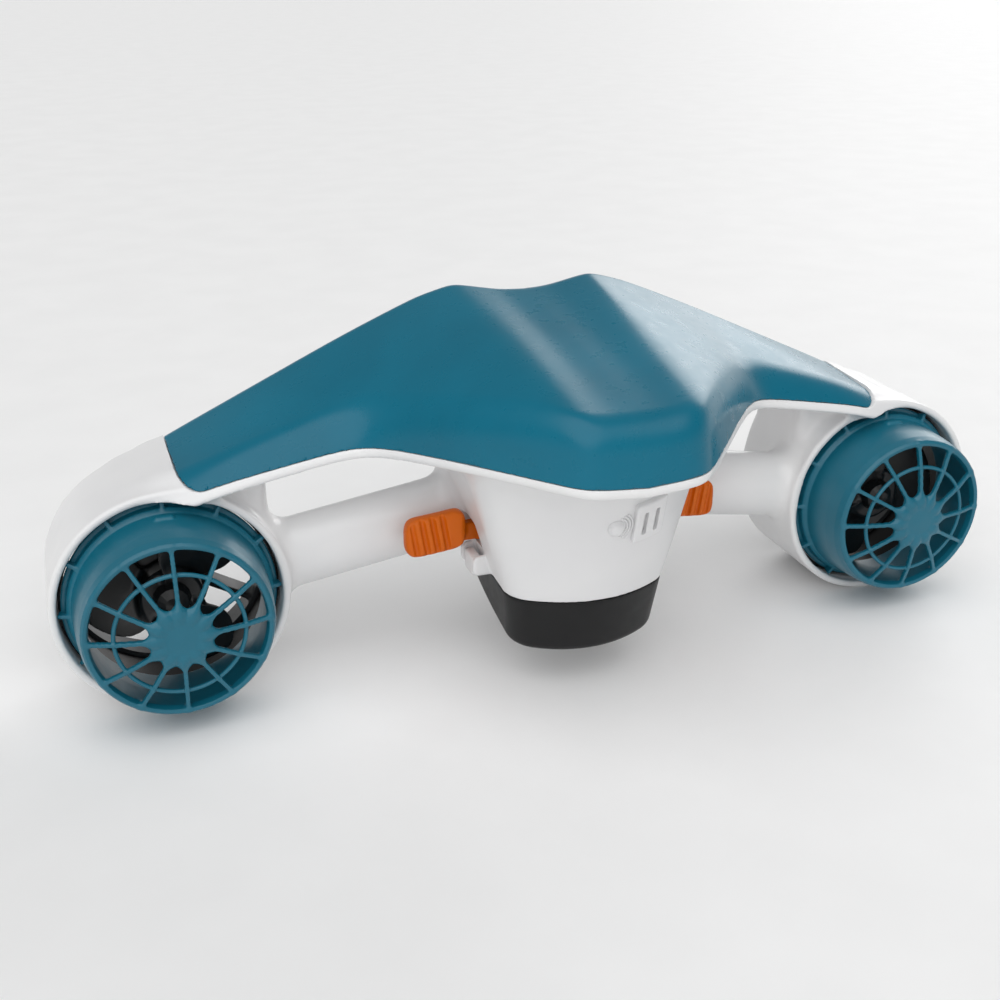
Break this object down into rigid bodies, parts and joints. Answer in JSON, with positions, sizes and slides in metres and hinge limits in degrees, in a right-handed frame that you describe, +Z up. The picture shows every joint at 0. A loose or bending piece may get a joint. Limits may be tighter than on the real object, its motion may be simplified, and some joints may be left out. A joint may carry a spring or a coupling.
{
  "type": "underwater scooter",
  "caption": "Winged hand-held underwater scooter with guarded ducted thrusters at its wing tips, grab bars with finger triggers and a drop-out battery in the centre hub.",
  "frame": {"origin": "middle of the box around the scooter, on the surface that its two ducts stand on", "axes": "+X across the scooter from duct to duct, +Y from the nose towards the rider, +Z up"},
  "size_m": [0.534, 0.1794, 0.1979],
  "materials": {
    "teal_shell": "glossy moulded teal plastic",
    "teal_guard": "satin moulded teal plastic",
    "white_body": "glossy white plastic",
    "orange_trigger": "satin orange plastic",
    "black_case": "satin black plastic",
    "black_rotor": "satin black plastic",
    "grey_nozzle": "satin grey plastic",
    "steel": "machined stainless steel",
    "copper_winding": "varnished copper windings",
    "circuit_board": "solder-masked board",
    "rubber": "matt black rubber"
  },
  "bodies": {
    "chassis": {"top_shell": "teal_shell", "chassis_plate": "white_body", "center_hub": "white_body", "tether_plate": "white_body", "contact_block": "black_case", "control_board": "circuit_board", "battery_seal": "rubber", "left_duct": "white_body", "left_handle_bar": "white_body", "left_intake_guard": "teal_guard", "left_intake_grille": "teal_guard", "left_stator_frame": "grey_nozzle", "left_motor_can": "steel", "left_motor_cover": "black_rotor", "left_motor_stator": "copper_winding", "left_front_bearing": "steel", "left_rear_bearing": "steel", "left_shaft_seal": "rubber", "left_trigger_pin": "steel", "left_trigger_spring": "steel", "left_trigger_switch": "black_case", "left_latch_pin": "steel", "left_motor_cable": "rubber", "left_nose_screw": "steel", "left_root_screw": "steel", "left_wing_screw": "steel", "right_duct": "white_body", "right_handle_bar": "white_body", "right_intake_guard": "teal_guard", "right_intake_grille": "teal_guard", "right_stator_frame": "grey_nozzle", "right_motor_can": "steel", "right_motor_cover": "black_rotor", "right_motor_stator": "copper_winding", "right_front_bearing": "steel", "right_rear_bearing": "steel", "right_shaft_seal": "rubber", "right_trigger_pin": "steel", "right_trigger_spring": "steel", "right_trigger_switch": "black_case", "right_latch_pin": "steel", "right_motor_cable": "rubber", "right_nose_screw": "steel", "right_root_screw": "steel", "right_wing_screw": "steel"},
    "battery": {"battery_pack": "black_case"},
    "button": {"power_button": "white_body"},
    "left_rotor": {"left_propeller": "black_rotor", "left_spinner": "black_rotor", "left_motor_shaft": "steel", "left_motor_rotor": "steel"},
    "left_trigger_lever": {"left_trigger": "orange_trigger"},
    "left_latch": {"left_battery_latch": "white_body"},
    "right_rotor": {"right_propeller": "black_rotor", "right_spinner": "black_rotor", "right_motor_shaft": "steel", "right_motor_rotor": "steel"},
    "right_trigger_lever": {"right_trigger": "orange_trigger"},
    "right_latch": {"right_battery_latch": "white_body"}
  },
  "joints": [
    {"name": "left_propeller_spin", "type": "hinge", "parent": "chassis", "child": "left_rotor", "pos_m": [-0.207, 0.0371, 0.0594], "axis": [0, 1, 0], "continuous": true},
    {"name": "left_trigger_pull", "type": "hinge", "parent": "chassis", "child": "left_trigger_lever", "pos_m": [-0.045, 0.0191, 0.0794], "axis": [0, 0, -1], "range_deg": [0, 9], "stiffness_Nm_per_rad": 0.05, "springref_deg": -11.46},
    {"name": "left_latch_swing", "type": "hinge", "parent": "chassis", "child": "left_latch", "pos_m": [-0.0517, 0.0151, 0.0654], "axis": [0, 1, 0], "range_deg": [0, 35], "stiffness_Nm_per_rad": 0.01, "springref_deg": -11.46},
    {"name": "right_propeller_spin", "type": "hinge", "parent": "chassis", "child": "right_rotor", "pos_m": [0.207, 0.0371, 0.0594], "axis": [0, 1, 0], "continuous": true},
    {"name": "right_trigger_pull", "type": "hinge", "parent": "chassis", "child": "right_trigger_lever", "pos_m": [0.045, 0.0191, 0.0794], "axis": [0, 0, 1], "range_deg": [0, 9], "stiffness_Nm_per_rad": 0.05, "springref_deg": -11.46},
    {"name": "right_latch_swing", "type": "hinge", "parent": "chassis", "child": "right_latch", "pos_m": [0.0517, 0.0151, 0.0654], "axis": [0, -1, 0], "range_deg": [0, 35], "stiffness_Nm_per_rad": 0.01, "springref_deg": -11.46},
    {"name": "battery_release", "type": "slide", "parent": "chassis", "child": "battery", "axis": [0, 0, -1], "range_m": [0, 0.075]},
    {"name": "power_button_press", "type": "slide", "parent": "chassis", "child": "button", "axis": [0, 0.9677, 0.2522], "range_m": [0, 0.0015], "stiffness_N_per_m": 300, "springref_m": -0.001}
  ]
}
